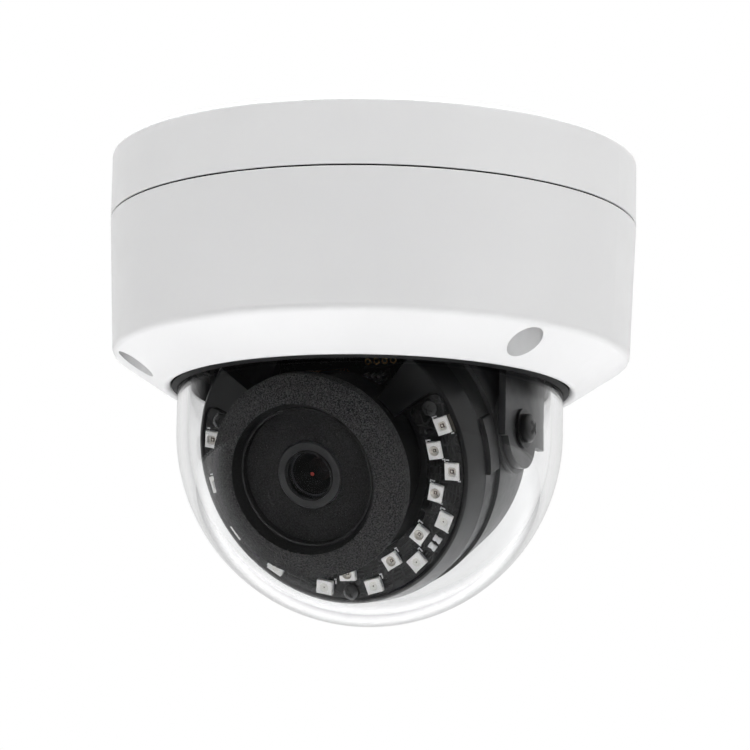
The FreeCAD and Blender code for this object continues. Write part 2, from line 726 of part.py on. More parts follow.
def front_shell():
    """The C-shaped front: a pocket for the lamp board, open towards the top of the ball."""
    wall = d.shell_wall
    floor_back = 16.4
    well_back = 13.4
    well_wall = 22.0
    chamfer = 0.4
    bore = d.tube_radius + 0.2
    body = revolved([
        (bore, well_back), (well_wall, well_back), (well_wall, floor_back), (27.4, floor_back),
        (d.skirt_radius - wall, d.skirt_front), (d.skirt_radius, d.skirt_front),
        (d.rim_radius, d.rim_front - chamfer), (d.rim_radius - chamfer, d.rim_front),
        (bore, d.rim_front)], "FrontShell")
    pocket = cut(sector(d.pocket_radius, 4, d.pocket_floor, d.pocket_angle),
                 cylinder(d.tube_radius - 0.5, 8, (0, 0, d.pocket_floor - 2)))
    pocket = rounded(pocket, 2.2, lambda edge: is_upright(edge, d.pocket_floor, d.pocket_floor + 4)
                     and math.hypot(edge.Vertexes[0].X, edge.Vertexes[0].Y) > 20)
    moat = cut(sector(d.moat_radius, 6, d.moat_floor, d.pocket_angle),
               cylinder(d.tube_radius - 0.5, 8, (0, 0, d.moat_floor - 1)))
    notch = sector(40, 10, 12, 180 - d.notch_angle, 90)
    posts = []
    bores = []
    for turn in POST_TURNS:
        x, y = polar(d.post_circle, turn)
        posts.append(cylinder(d.post_radius, floor_back + d.skirt_back - 0.1,
                              (x, y, -d.skirt_back + 0.2)))
        bores.append(cylinder(1.3, 24, (x, y, -d.skirt_back)))
    for radius, turn in BOARD_SCREWS:
        bores.append(cylinder(0.85, 3.0, (*polar(radius, turn), floor_back + 0.1)))
    keep(cut(fuse(cut(body, pocket, moat, notch), *posts), *bores), "front_shell", BALL)


def middle_shell():
    """The turning collar: a sleeve inside the cradle ring and a skirt with two finger tabs."""
    gap = 0.15
    body = revolved([
        (d.sleeve_bore, -d.skirt_back + 0.1), (d.sleeve_radius, -d.skirt_back + 0.1),
        (d.sleeve_radius, d.skirt_back), (d.skirt_radius, d.skirt_back),
        (d.skirt_radius, d.skirt_front - gap), (d.skirt_radius - d.shell_wall, d.skirt_front - gap),
        (d.sleeve_bore, 12.0)], "MiddleShell")
    tabs = []
    tab_foot = 9.4
    tab_length = 4.6
    for side in (0, 180):
        arc = cut(sector(31.95, tab_length, tab_foot, 10.5, side), cylinder(30.0, 6, (0, 0, 9)))
        tabs.append(rounded(arc, 0.5, lambda edge: is_upright(edge, tab_foot, tab_foot + tab_length)
                            and math.hypot(edge.Vertexes[0].X, edge.Vertexes[0].Y) > 31))
    keep(fuse(body, *tabs), "middle_shell", BALL)


def rear_shell():
    start = -d.skirt_back
    outer = d.ball_radius
    inner = outer - d.shell_wall
    mouth = 8.0
    screw_seat = -17.5

    def depth(radius, across):
        return -math.sqrt(radius.value ** 2 - size(across).value ** 2)

    def across(radius, along):
        return math.sqrt(radius.value ** 2 - size(along).value ** 2)

    body = revolved([
        (mouth, depth(outer, mouth)), (across(outer, start), start, outer),
        (d.sleeve_bore, start), (d.sleeve_bore, -11.5), (across(inner, -12.4), -12.4),
        (mouth, depth(inner, mouth), -inner)], "RearShell")
    bosses = []
    bores = []
    for turn in POST_TURNS:
        x, y = polar(d.post_circle, turn)
        boss = cylinder(3.4, 14.0, (x, y, start - 14.0))
        bosses.append(common(boss, ball(outer - 0.2)))
        bores.append(cylinder(1.4, 24, (x, y, -25)))
        bores.append(cylinder(2.5, 14, (x, y, screw_seat - 14)))
    keep(cut(fuse(body, *bosses), *bores), "rear_shell", BALL)
    screws = [screw((*polar(d.post_circle, turn), screw_seat), (0, 0, -1), 2.2, 1.6, 1.2, 24)
              for turn in POST_TURNS]
    keep(group(*screws), "ball_screws", BALL)


def shroud_tube():
    """The glossy tube that stands round the lens and carries the foam ring."""
    tube = d.tube_radius
    lip = d.lip_radius
    bore = tube - 1.4
    back = 13.5
    shelf_back = 26.2
    shelf_front = 27.4
    shelf_edge = 18.8
    keep(revolved([
        (bore, back), (tube, back), (tube, shelf_back), (shelf_edge, shelf_back),
        (shelf_edge, shelf_front), (lip, shelf_front), (lip, d.lip_front),
        (lip - d.lip_wall, d.lip_front), (lip - d.lip_wall, shelf_back), (bore, shelf_back)],
        "ShroudTube"), "shroud_tube", BALL)


def foam_ring():
    """Its front follows the inside of the dome, so that it keeps lamp light off the lens."""
    reach = math.hypot(d.foam_mouth.value, d.foam_front.value)
    corner = 0.3
    crown_edge = d.foam_radius - 0.35
    bore = d.lip_radius + 0.08
    keep(revolved([
        (bore, d.foam_back), (d.foam_radius - corner, d.foam_back),
        (d.foam_radius, d.foam_back + corner), (d.foam_radius, 30.0 - corner),
        (crown_edge, math.sqrt(reach ** 2 - crown_edge.value ** 2)),
        (d.foam_mouth, d.foam_front, reach), (bore, d.lip_front)], "FoamRing"),
        "foam_ring", BALL)


def lens():
    """An M12 lens: its surround, its threaded barrel, the ring round its glass and three lenses."""
    front = d.collar_front
    collar = d.collar_radius
    bore = d.lens_radius + 0.05
    surround_bore = collar + 0.15
    surround_rim = d.lip_radius - d.lip_wall - 0.1
    surround_wall = 1.2
    skirt_foot = 25.0
    keep(revolved([
        (surround_bore, d.floor_front), (surround_bore, d.floor_front - surround_wall),
        (12.6, d.floor_front - surround_wall), (12.6, skirt_foot), (surround_rim, skirt_foot),
        (surround_rim, d.floor_front)], "Surround"), "lens_surround", BALL)
    keep(revolved([
        (d.thread_radius, 7.5), (d.thread_radius, 24.0), (collar, 24.0), (collar, front - 0.2),
        (collar - 0.2, front), (5.15, front), (5.15, 27.6), (4.3, 27.6), (1.6, 22.0), (1.6, 20.5),
        (4.0, 19.5), (4.0, 7.5)], "Barrel"), "lens_barrel", BALL)
    keep(revolved([(bore, 27.7), (5.1, 27.7), (5.1, front + 0.25), (4.95, front + 0.4),
                   (4.75, front + 0.4), (bore, front + 0.1)], "LensRing"), "lens_ring", BALL)
    crown = front + 0.8
    front_curve = 12.0
    back_curve = 7.0
    disc = cylinder(d.lens_radius, 3.1, (0, 0, 27.9))
    glass = common(disc, ball(front_curve, (0, 0, crown - front_curve)))
    keep(cut(glass, ball(back_curve, (0, 0, crown - 2.0 - back_curve))), "lens_front_element", BALL)
    keep(revolved([(0, 23.6), (0, 25.3), (2.5, 24.7), (2.5, 24.2), (1.9, 23.6)], "Second"),
         "lens_second_element", BALL)
    keep(revolved([(0, 9.0), (3.9, 9.0), (3.9, 12.5), (0, 14.0)], "Rear"),
         "lens_rear_element", BALL)


def lens_holder():
    """The threaded mount on the sensor board, with the filter switcher's slot through it."""
    block = box(30, 18, 8, (0, 0, TOUCH))
    barrel = cylinder(8.5, 7.5, (0, 0, 8))
    slot = box(27.6, 9.6, 2.2, (0, 0, 2.4))
    path = cylinder(4.6, 4, (0, 0, 4.5))
    thread = cylinder(d.thread_radius + 0.05, 10, (0, 0, 7.4))
    sensor_room = box(11, 9.0, 2.6, (0, 0, 0))
    keep(cut(fuse(block, barrel), slot, path, thread, sensor_room), "lens_holder", BALL)
    filter_switcher()
    coil = cylinder(3.2, 12, (-13.5, 12.4, 4.0), (1, 0, 0))
    keep(fuse(coil, box(14, 3.4, 4, (-7.5, 10.75, 2))), "filter_coil", BALL)


def filter_switcher():
    """A carriage with two square filters; it slides to bring one or the other behind the lens."""
    window = 6.6
    glass = window - 2 * TOUCH
    plate = box(17.6, 9.2, 1.4, (d.carriage_travel / -2, 0, 2.8))
    spots = [(0, 0), (-d.carriage_travel, 0)]
    keep(cut(plate, *[box(window, window, 2, (*spot, 2.5)) for spot in spots]),
         "filter_carriage", BALL)
    for spot, name in zip(spots, ("infrared_cut_filter", "clear_filter")):
        keep(box(glass, glass, 0.5, (*spot, 3.2)), name, BALL)


def sensor_board():
    half = d.sensor_board_half
    thick = 1.6
    keep(box(2 * half, 37, thick, (0, 0.5, -thick)), "sensor_board", BALL)
    keep(box(7.2, 5.6, 1.2, (0, 0, 0.05)), "image_sensor", BALL)
    pads = []
    for step in range(4):
        spot = (2.0 + 1.9 * step, 16.6, 0.01)
        pads.append(cut(cylinder(0.75, 0.12, spot), cylinder(0.4, 0.2, spot)))
    keep(group(*pads), "solder_pads", BALL)
    pin = 0.5
    well = pin + 2 * TOUCH
    pitch = 1.27
    pin_spots = [(3.1 + pitch * column, 12.6 + pitch * row) for column in range(4) for row in range(2)]
    base = box(6.2, 3.6, 2.2, (5.0, 13.2, TOUCH))
    wells = [box(well, well, 3, (*spot, 1.5)) for spot in pin_spots]
    keep(cut(base, *wells), "pin_header_base", BALL)
    keep(group(*[box(pin, pin, 4.5, (*spot, 1.6)) for spot in pin_spots]), "pin_header_pins", BALL)
    keep(box(14, 14, 1.0, (0, 0, -2.65)), "heat_pad", BALL)
    sink = box(22, 22, 6, (0, 0, -8.7))
    slots = [box(1.6, 24, 4.4, (x, 0, -9.2)) for x in (-8, -4, 0, 4, 8)]
    keep(cut(sink, *slots), "heat_sink", BALL)


# ---------------------------------------------------------------- lamp board

OUTER_LEDS = [12, 36.5, 60, 83, 103.5]
INNER_LEDS = [26, 47.5, 71.5, 93]


def lamp_board():
    front = d.board_front
    thick = front - d.pocket_floor - TOUCH
    low = d.pocket_floor + TOUCH
    plate = cut(sector(d.board_outer, thick, low, d.board_angle),
                cylinder(d.board_inner, 4, (0, 0, low - 1)))
    plate = rounded(plate, 1.5, lambda edge: is_upright(edge, low, low + thick))
    holes = [cylinder(1.0, 4, (*polar(radius, turn), low - 1)) for radius, turn in BOARD_SCREWS]
    keep(cut(plate, *holes), "lamp_board", BALL)
    screws = [screw((*polar(radius, turn), front + TOUCH), (0, 0, 1), 1.65, 1.0, 0.8, 2.6, 0.6)
              for radius, turn in BOARD_SCREWS]
    keep(group(*screws), "lamp_board_screws", BALL)
    keep(group(*[led_package(*spot) for spot in led_spots()]), "infrared_leds", BALL)
    chips = [turned_box(1.6, 0.8, 0.45, 26.5, turn) for turn in (50.7, 46.6)]
    keep(group(*chips), "lamp_board_resistors", BALL)
    sensor_circle = 26.4
    sensor_turn = -48
    sensor_height = 0.7
    body = turned_box(3.0, 2.0, sensor_height, sensor_circle, sensor_turn)
    cap = cylinder(0.8, 0.5, (*polar(sensor_circle, sensor_turn), front + sensor_height))
    keep(fuse(body, cap), "light_sensor", BALL)


def led_spots():
    spots = [(d.inner_led_circle, 0)]
    spots += [(d.outer_led_circle, turn * side) for turn in OUTER_LEDS for side in (1, -1)]
    spots += [(d.inner_led_circle, turn * side) for turn in INNER_LEDS for side in (1, -1)]
    return spots


def turned_box(length, width, height, radius, turn):
    """A box on the lamp board, its length along the circle about the lens."""
    thing = doc.addObject("Part::Box", "Chip")
    bind(thing, "Length", length)
    bind(thing, "Width", width)
    bind(thing, "Height", height)
    x, y = polar(size(radius).value, turn)
    frame = Placement(Vector(x, y, d.board_front.value + TOUCH), Rotation(Vector(0, 0, 1), turn))
    middle = Vector(-size(length).value / 2, -size(width).value / 2, 0)
    thing.Placement = frame * Placement(middle, Rotation())
    return thing


def led_package(radius, turn):
    """A plastic package with a round well that holds the chip."""
    packet = turned_box(d.led_length, d.led_width, d.led_height, radius, turn)
    x, y = polar(size(radius).value, turn)
    well = cone(0.85, 1.15, 0.6, (x, y, d.board_front + d.led_height - 0.55))
    return cut(packet, well)


def write_parts():
    doc.recompute()
    failed = [thing.Label for thing in doc.Objects
              if "Invalid" in thing.State or "Error" in thing.State]
    for thing in nodes:
        shape = thing.Shape
        if shape.isNull() or not shape.isValid() or not shape.Solids:
            failed.append(thing.Label)
    if failed:
        raise RuntimeError("these objects failed: %s" % failed)
    os.makedirs("parts", exist_ok=True)
    for thing in nodes:
        thing.Shape.exportStep("parts/%s.step" % thing.Label)
    print("wrote %d nodes" % len(nodes))


mounting_base()
cable_grommet()
base_gasket()
power_board()
board_parts()
cover_shell()
dome_bubble()
dome_seal()
dome_clamp()
pan_support()
yoke_bracket()
pan_retainer()
cradle()
tilt_hardware()
front_shell()
middle_shell()
rear_shell()
shroud_tube()
foam_ring()
lens()
lens_holder()
sensor_board()
lamp_board()
write_parts()
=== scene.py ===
import math

import bmesh
import bpy
from mathutils import Matrix, Vector, noise


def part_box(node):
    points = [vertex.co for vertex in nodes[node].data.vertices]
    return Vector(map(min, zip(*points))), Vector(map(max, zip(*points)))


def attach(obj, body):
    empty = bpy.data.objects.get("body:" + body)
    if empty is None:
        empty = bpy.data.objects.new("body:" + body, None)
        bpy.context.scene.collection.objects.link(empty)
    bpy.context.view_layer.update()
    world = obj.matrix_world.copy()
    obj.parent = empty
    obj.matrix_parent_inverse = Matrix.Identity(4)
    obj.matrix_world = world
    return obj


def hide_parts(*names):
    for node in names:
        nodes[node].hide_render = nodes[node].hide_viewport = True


# Ceiling dome camera. Pieces of the camera ball are made in millimetres in the ball's own
# frame (x to the camera's left, y towards its top, z forward along the lens) and then placed.

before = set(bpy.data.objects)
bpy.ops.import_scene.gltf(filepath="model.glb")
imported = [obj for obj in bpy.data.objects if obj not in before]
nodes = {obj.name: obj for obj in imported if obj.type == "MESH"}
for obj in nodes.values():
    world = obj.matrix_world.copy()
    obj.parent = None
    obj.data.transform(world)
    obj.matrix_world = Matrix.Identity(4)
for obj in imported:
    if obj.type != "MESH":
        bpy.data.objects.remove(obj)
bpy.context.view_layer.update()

MM = Matrix.Scale(0.001, 4)
TILT_CENTRE = Vector((0.0, 0.0, -0.0586))
REST_TILT = math.radians(23.4)
BALL = Matrix.Translation(TILT_CENTRE) @ Matrix.Rotation(math.radians(90) + REST_TILT, 4, "X")
HOUSING = Matrix.Identity(4)

# The lamp board: height of its face, radii of its two circles of lamps, and the places of the
# lamps on each side in degrees from the bottom.
BOARD_FRONT = 19.4
OUTER_CIRCLE = 26.2
INNER_CIRCLE = 23.1
OUTER_LAMPS = [12, 36.5, 60, 83, 103.5]
INNER_LAMPS = [26, 47.5, 71.5, 93]

# The clear dome, the distance from the lens axis at which the tilt screws' heads sit, and the
# angle from which an edge is shaded sharp.
DOME_RADIUS = 40.1
DOME_WALL = 2.5
DOME_FLANGE = 2.0
TILT_HEAD_SEAT = 34.3
SHARP_EDGE = math.radians(35)


# ------------------------------------------------------------------ materials

def new_material(name):
    made = bpy.data.materials.new(name)
    made.use_nodes = True
    tree = made.node_tree
    tree.nodes.clear()
    shader = tree.nodes.new("ShaderNodeBsdfPrincipled")
    output = tree.nodes.new("ShaderNodeOutputMaterial")
    tree.links.new(shader.outputs["BSDF"], output.inputs["Surface"])
    return made, tree, shader


def place_of(tree):
    return tree.nodes.new("ShaderNodeTexCoord").outputs["Object"]


def noise_of(tree, place, scale, detail=3.0, roughness=0.55):
    made = tree.nodes.new("ShaderNodeTexNoise")
    made.inputs["Scale"].default_value = scale
    made.inputs["Detail"].default_value = detail
    made.inputs["Roughness"].default_value = roughness
    tree.links.new(place, made.inputs["Vector"])
    return made.outputs["Fac"]


def cells_of(tree, place, scale, feature="F1"):
    made = tree.nodes.new("ShaderNodeTexVoronoi")
    made.feature = feature
    made.inputs["Scale"].default_value = scale
    tree.links.new(place, made.inputs["Vector"])
    return made.outputs["Distance"]


def between(tree, value, low, high, from_low=0.3, from_high=0.7):
    made = tree.nodes.new("ShaderNodeMapRange")
    made.inputs["From Min"].default_value = from_low
    made.inputs["From Max"].default_value = from_high
    made.inputs["To Min"].default_value = low
    made.inputs["To Max"].default_value = high
    tree.links.new(value, made.inputs["Value"])
    return made.outputs["Result"]


def tinted(tree, value, dark, light, from_low=0.35, from_high=0.65):
    ramp = tree.nodes.new("ShaderNodeValToRGB")
    ramp.color_ramp.elements[0].position = from_low
    ramp.color_ramp.elements[1].position = from_high
    ramp.color_ramp.elements[0].color = (*dark, 1)
    ramp.color_ramp.elements[1].color = (*light, 1)
    tree.links.new(value, ramp.inputs["Fac"])
    return ramp.outputs["Color"]


def bumped(tree, shader, height, strength, distance, under=None):
    made = tree.nodes.new("ShaderNodeBump")
    made.inputs["Strength"].default_value = strength
    made.inputs["Distance"].default_value = distance
    tree.links.new(height, made.inputs["Height"])
    if under is not None:
        tree.links.new(under, made.inputs["Normal"])
    tree.links.new(made.outputs["Normal"], shader.inputs["Normal"])
    return made.outputs["Normal"]


def surface(name, dark, light, rough, metal=0.0, grain=2500.0, bump=0.15, height=0.00004,
            coat=0.0, specular=0.5, patches=60.0):
    """A moulded, painted or plated surface: slow colour patches, fine grain and uneven gloss."""
    made, tree, shader = new_material(name)
    place = place_of(tree)
    slow = noise_of(tree, place, patches)
    fine = noise_of(tree, place, grain, 4.0, 0.6)
    tree.links.new(tinted(tree, slow, dark, light), shader.inputs["Base Color"])
    gloss = noise_of(tree, place, grain / 10)
    tree.links.new(between(tree, gloss, rough[0], rough[1]), shader.inputs["Roughness"])
    bumped(tree, shader, fine, bump, height)
    shader.inputs["Metallic"].default_value = metal
    shader.inputs["Coat Weight"].default_value = coat
    shader.inputs["Specular IOR Level"].default_value = specular
    return made


def grey(value):
    return (value, value, value * 1.01)


def brushed(name, dark, light, rough, along=(1, 1, 40)):
    """Plated or turned metal with fine marks along one direction."""
    made, tree, shader = new_material(name)
    mapping = tree.nodes.new("ShaderNodeMapping")
    mapping.inputs["Scale"].default_value = along
    tree.links.new(place_of(tree), mapping.inputs["Vector"])
    lines = noise_of(tree, mapping.outputs["Vector"], 300, 5.0, 0.6)
    tree.links.new(tinted(tree, lines, dark, light), shader.inputs["Base Color"])
    tree.links.new(between(tree, lines, rough[0], rough[1]), shader.inputs["Roughness"])
    bumped(tree, shader, lines, 0.12, 0.00002)
    shader.inputs["Metallic"].default_value = 1.0
    return made


def clear(name, tint, ior):
    """Moulded clear plastic or glass with a trace of surface unevenness."""
    made, tree, shader = new_material(name)
    fine = noise_of(tree, place_of(tree), 900.0)
    tree.links.new(between(tree, fine, 0.0, 0.01), shader.inputs["Roughness"])
    shader.inputs["Base Color"].default_value = (*tint, 1)
    shader.inputs["Transmission Weight"].default_value = 1.0
    shader.inputs["IOR"].default_value = ior
    return made


def foam(name, scale, strength, dark, light):
    """Open-cell foam: dark pores between slightly lighter strands."""
    made, tree, shader = new_material(name)
    place = place_of(tree)
    pores = cells_of(tree, place, scale)
    fuzz = noise_of(tree, place, scale * 1.7, 4.0, 0.65)
    tree.links.new(tinted(tree, fuzz, grey(dark), grey(light), 0.40, 0.62),
                   shader.inputs["Base Color"])
    under = bumped(tree, shader, pores, strength, 0.0002)
    bumped(tree, shader, fuzz, strength, 0.00015, under)
    shader.inputs["Roughness"].default_value = 0.95
    shader.inputs["Specular IOR Level"].default_value = 0.10
    shader.inputs["Sheen Weight"].default_value = 0.04
    shader.inputs["Sheen Roughness"].default_value = 0.6
    return made


def circuit(name, dark, light, rough):
    """Solder mask with the copper tracks showing faintly through it."""
    made, tree, shader = new_material(name)
    place = place_of(tree)
    tracks = cells_of(tree, place, 420, "DISTANCE_TO_EDGE")
    slow = noise_of(tree, place, 900)
    tree.links.new(tinted(tree, tracks, light, dark, 0.04, 0.10), shader.inputs["Base Color"])
    tree.links.new(between(tree, slow, rough[0], rough[1]), shader.inputs["Roughness"])
    bumped(tree, shader, tracks, 0.15, 0.00003)
    shader.inputs["Coat Weight"].default_value = 0.3
    return made


white_paint = surface("white_paint", (0.625, 0.625, 0.625), (0.645, 0.645, 0.645), (0.34, 0.44),
                      grain=1800, bump=0.10, height=0.00003, patches=18)
black_rubber = surface("black_rubber", grey(0.010), grey(0.018), (0.6, 0.75), grain=3000)
black_plastic = surface("black_plastic", grey(0.012), grey(0.020), (0.35, 0.5), bump=0.25)
satin_black = surface("satin_black", grey(0.008), grey(0.012), (0.30, 0.40), bump=0.06,
                      grain=5200)
liner_black = surface("liner_black", grey(0.010), grey(0.014), (0.28, 0.4), bump=0.05)
gloss_black = surface("gloss_black", grey(0.010), grey(0.016), (0.04, 0.10), bump=0.02)
screw_black = surface("screw_black", grey(0.024), grey(0.040), (0.14, 0.24), bump=0.08, grain=1500,
                      coat=0.8)
washer_black = surface("washer_black", grey(0.008), grey(0.014), (0.30, 0.42), bump=0.08,
                       grain=1500, specular=0.3)
yoke_paint = surface("yoke_paint", grey(0.030), grey(0.040), (0.34, 0.46), bump=0.10, grain=3800)
ball_grey = surface("ball_grey", grey(0.024), grey(0.032), (0.36, 0.48), bump=0.08, grain=4200)
rear_grey = surface("rear_grey", grey(0.11), grey(0.14), (0.16, 0.26), bump=0.08, grain=4200,
                    coat=0.3)
cradle_grey = surface("cradle_grey", grey(0.055), grey(0.070), (0.36, 0.48), bump=0.08, grain=4200)
surround_black = foam("surround_black", 2600, 0.4, 0.004, 0.028)
black_foam = foam("black_foam", 2300, 0.8, 0.006, 0.080)
# The inner bevel's foam is darker than the ring's face: a smoother skin, plus painted shade where
# the recess falls into shadow.
foam_skin_painted_shade = foam("foam_skin_painted_shade", 2600, 0.3, 0.002, 0.010)
lens_black = surface("lens_black", grey(0.0010), grey(0.002), (0.34, 0.46), grain=6500, bump=0.05,
                     specular=0.04)
collar_black = surface("collar_black", grey(0.020), grey(0.030), (0.30, 0.42), grain=5200,
                       bump=0.05)
nylon = surface("nylon", (0.66, 0.65, 0.61), (0.74, 0.73, 0.69), (0.4, 0.5))
white_plastic = surface("white_plastic", (0.70, 0.69, 0.65), (0.78, 0.77, 0.73), (0.35, 0.45))
green_board = circuit("green_board", (0.004, 0.030, 0.016), (0.012, 0.070, 0.036), (0.2, 0.3))
dark_board = circuit("dark_board", (0.004, 0.007, 0.006), (0.008, 0.014, 0.011), (0.2, 0.3))
black_board = circuit("black_board", grey(0.013), grey(0.024), (0.09, 0.16))
brass = brushed("brass", (0.55, 0.38, 0.14), (0.72, 0.52, 0.22), (0.25, 0.38))
zinc_steel = brushed("zinc_steel", grey(0.45), grey(0.60), (0.25, 0.4))
stainless_steel = brushed("stainless_steel", grey(0.42), grey(0.55), (0.22, 0.36))
plated_white = surface("plated_white", grey(0.56), grey(0.62), (0.3, 0.4), metal=0.15, grain=1500)
capacitor_can = surface("capacitor_can", (0.01, 0.012, 0.03), (0.02, 0.022, 0.05), (0.1, 0.2))
button_red = surface("button_red", (0.40, 0.04, 0.03), (0.48, 0.06, 0.04), (0.35, 0.45))
copper_coil = brushed("copper_coil", (0.45, 0.16, 0.06), (0.62, 0.25, 0.10), (0.2, 0.35),
                      (60, 1, 1))
solder = surface("solder", grey(0.50), grey(0.68), (0.15, 0.3), metal=0.35, grain=4000, bump=0.1)
solder_tip = surface("solder_tip", grey(0.70), grey(0.85), (0.2, 0.35), metal=0.2)
pad_gold = surface("pad_gold", (0.62, 0.40, 0.18), (0.80, 0.56, 0.30), (0.2, 0.3), metal=0.2)
chip_black = surface("chip_black", (0.02, 0.015, 0.03), (0.03, 0.02, 0.04), (0.08, 0.16))
heat_pad = surface("heat_pad", (0.32, 0.35, 0.42), (0.38, 0.41, 0.48), (0.6, 0.8))
bare_aluminium = brushed("bare_aluminium", grey(0.62), grey(0.74), (0.3, 0.42), (40, 1, 1))
lamp_white = surface("lamp_white", (0.90, 0.89, 0.87), (0.96, 0.95, 0.93), (0.28, 0.4),
                     bump=0.05, patches=900)
lamp_cream = surface("lamp_cream", (0.80, 0.79, 0.74), (0.88, 0.87, 0.82), (0.22, 0.3),
                     bump=0.04, patches=1400)
lamp_cup = surface("lamp_cup", (0.62, 0.58, 0.52), (0.80, 0.76, 0.70), (0.10, 0.2), coat=0.5,
                   bump=0.05, patches=1600)
lamp_die = surface("lamp_die", (0.035, 0.020, 0.018), (0.080, 0.045, 0.035), (0.1, 0.2),
                   patches=2500)
print_white = surface("print_white", grey(0.62), grey(0.78), (0.45, 0.6), bump=0.1)
track_black = surface("track_black", grey(0.018), grey(0.028), (0.10, 0.18), bump=0.05)
tape_amber = surface("tape_amber", (0.060, 0.052, 0.044), (0.11, 0.095, 0.080), (0.10, 0.2),
                     patches=700)
# A painted reflection: the red glint of a lamp in the lens coating, made as a solid red colour.
painted_glint_red = surface("painted_glint_red", (0.62, 0.05, 0.03), (0.85, 0.14, 0.09), (0.2, 0.3), patches=3000)
dome_clear = clear("dome_clear", (0.985, 0.988, 0.99), 1.49)
# Coated lenses reflect little, so their glass has a low index here.
lens_glass = clear("lens_glass", (0.80, 0.82, 0.88), 1.14)
pupil_glass = clear("pupil_glass", (0.80, 0.45, 0.38), 1.22)
ir_glass = clear("ir_glass", (0.60, 0.85, 0.88), 1.52)
plain_glass = clear("plain_glass", (0.94, 0.96, 0.95), 1.52)

FINISH = {
    white_paint: ["mounting_base", "cover_shell"],
    black_rubber: ["cable_grommet", "base_gasket", "dome_gasket"],
    green_board: ["power_board"],
    dark_board: ["sensor_board"],
    brass: ["board_standoffs"],
    zinc_steel: ["board_standoff_screws", "pan_support_screws", "dome_clamp_screws",
                 "pan_retainer_screws"],
    plated_white: ["cover_screws"],
    stainless_steel: ["memory_card_slot"],
    white_plastic: ["network_connector"],
    nylon: ["screw_retaining_rings", "pan_friction_washer"],
    solder: ["network_connector_pins"],
    pad_gold: ["solder_pads"],
    capacitor_can: ["board_capacitors"],
    black_plastic: ["reset_switch", "dome_clamp_ring", "pan_support", "pan_retainer",
                    "lens_holder", "pin_header_base", "filter_carriage"],
    button_red: ["reset_button"],
    liner_black: ["inner_liner"],
    dome_clear: ["dome_bubble"],
    yoke_paint: ["yoke_bracket"],
    cradle_grey: ["cradle_ring"],
    screw_black: ["ball_screws", "lamp_board_screws"],
    washer_black: ["tilt_screws", "tilt_washers"],
    satin_black: ["front_shell"],
    ball_grey: ["middle_shell"],
    rear_grey: ["rear_shell"],
    surround_black: ["lens_surround"],
    black_foam: ["foam_ring"],
    collar_black: ["lens_barrel"],
    gloss_black: ["shroud_tube", "lens_ring"],
    lens_glass: ["lens_front_element", "lens_rear_element"],
    pupil_glass: ["lens_second_element"],
    copper_coil: ["filter_coil"],
    chip_black: ["image_sensor", "light_sensor"],
    solder_tip: ["pin_header_pins"],
    heat_pad: ["heat_pad"],
    bare_aluminium: ["heat_sink"],
    black_board: ["lamp_board"],
    lamp_white: ["infrared_leds"],
    track_black: ["lamp_board_resistors"],
    ir_glass: ["infrared_cut_filter"],
    plain_glass: ["clear_filter"],
}
for material, names in FINISH.items():
    for name in names:
        for holder in nodes[name].material_slots:
            holder.material = material


# ------------------------------------------------------------------ mesh helpers

def piece(name, mesh, materials, body, where=HOUSING):
    """A finished object from a bmesh in millimetres, riding on a CAD body."""
    bmesh.ops.recalc_face_normals(mesh, faces=mesh.faces)
    data = bpy.data.meshes.new(name)
    mesh.to_mesh(data)
    mesh.free()
    data.transform(where @ MM)
    for material in materials:
        data.materials.append(material)
    data.shade_smooth()
    data.set_sharp_from_angle(angle=SHARP_EDGE)
    made = bpy.data.objects.new(name, data)
    bpy.context.scene.collection.objects.link(made)
    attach(made, body)
    return made


def spin(mesh, profile, steps, shift=(0, 0, 0)):
    """Turns a profile of (radius, height) about the z axis. A radius of 0 makes a pole, and a
    profile without poles is closed into a ring."""
    rings = []
    for radius, height in profile:
        if radius == 0:
            rings.append([mesh.verts.new((shift[0], shift[1], height + shift[2]))])
            continue
        ring = []
        for step in range(steps):
            turn = 2 * math.pi * step / steps
            ring.append(mesh.verts.new((shift[0] + radius * math.cos(turn),
                                        shift[1] + radius * math.sin(turn),
                                        shift[2] + height)))
        rings.append(ring)
    pairs = list(zip(rings, rings[1:]))
    if len(rings[0]) > 1 and len(rings[-1]) > 1:
        pairs.append((rings[-1], rings[0]))
    for low, high in pairs:
        for step in range(steps):
            corners = [low[step % len(low)], low[(step + 1) % steps % len(low)],
                       high[(step + 1) % steps % len(high)], high[step % len(high)]]
            mesh.faces.new(list(dict.fromkeys(corners)))


def arc(centre, radius, start, end, steps):
    """Points on an arc in a profile, by angle in degrees from the radius axis."""
    points = []
    for step in range(steps + 1):
        turn = math.radians(start + (end - start) * step / steps)
        points.append((centre[0] + radius * math.cos(turn), centre[1] + radius * math.sin(turn)))
    return points


def slab(mesh, length, width, low, high, seat, material=0, bevel=0.0, shift=(0, 0)):
    """A block between two heights; `seat` takes its own frame to the mesh's frame."""
    made = bmesh.ops.create_cube(mesh, size=1.0)
    verts = made["verts"]
    for vert in verts:
        vert.co = Vector((vert.co.x * length + shift[0], vert.co.y * width + shift[1],
                          low + (vert.co.z + 0.5) * (high - low)))
    faces = list({face for vert in verts for face in vert.link_faces})
    for face in faces:
        face.material_index = material
    edges = list({edge for vert in verts for edge in vert.link_edges})
    if bevel:
        cut = bmesh.ops.bevel(mesh, geom=edges, offset=bevel, segments=2, profile=0.6,
                              affect="EDGES")
        verts = list({vert for face in cut["faces"] for vert in face.verts} | set(
            vert for vert in verts if vert.is_valid))
        for face in cut["faces"]:
            face.material_index = material
    bmesh.ops.transform(mesh, matrix=seat, verts=[vert for vert in verts if vert.is_valid])


def board_seat(radius, turn, height=BOARD_FRONT):
    """The frame of a part on the lamp board: x runs round the lens, y towards it."""
    angle = math.radians(turn)
    spot = Vector((radius * math.sin(angle), -radius * math.cos(angle), height))
    return Matrix.Translation(spot) @ Matrix.Rotation(angle, 4, "Z")


# ------------------------------------------------------------------ dome window

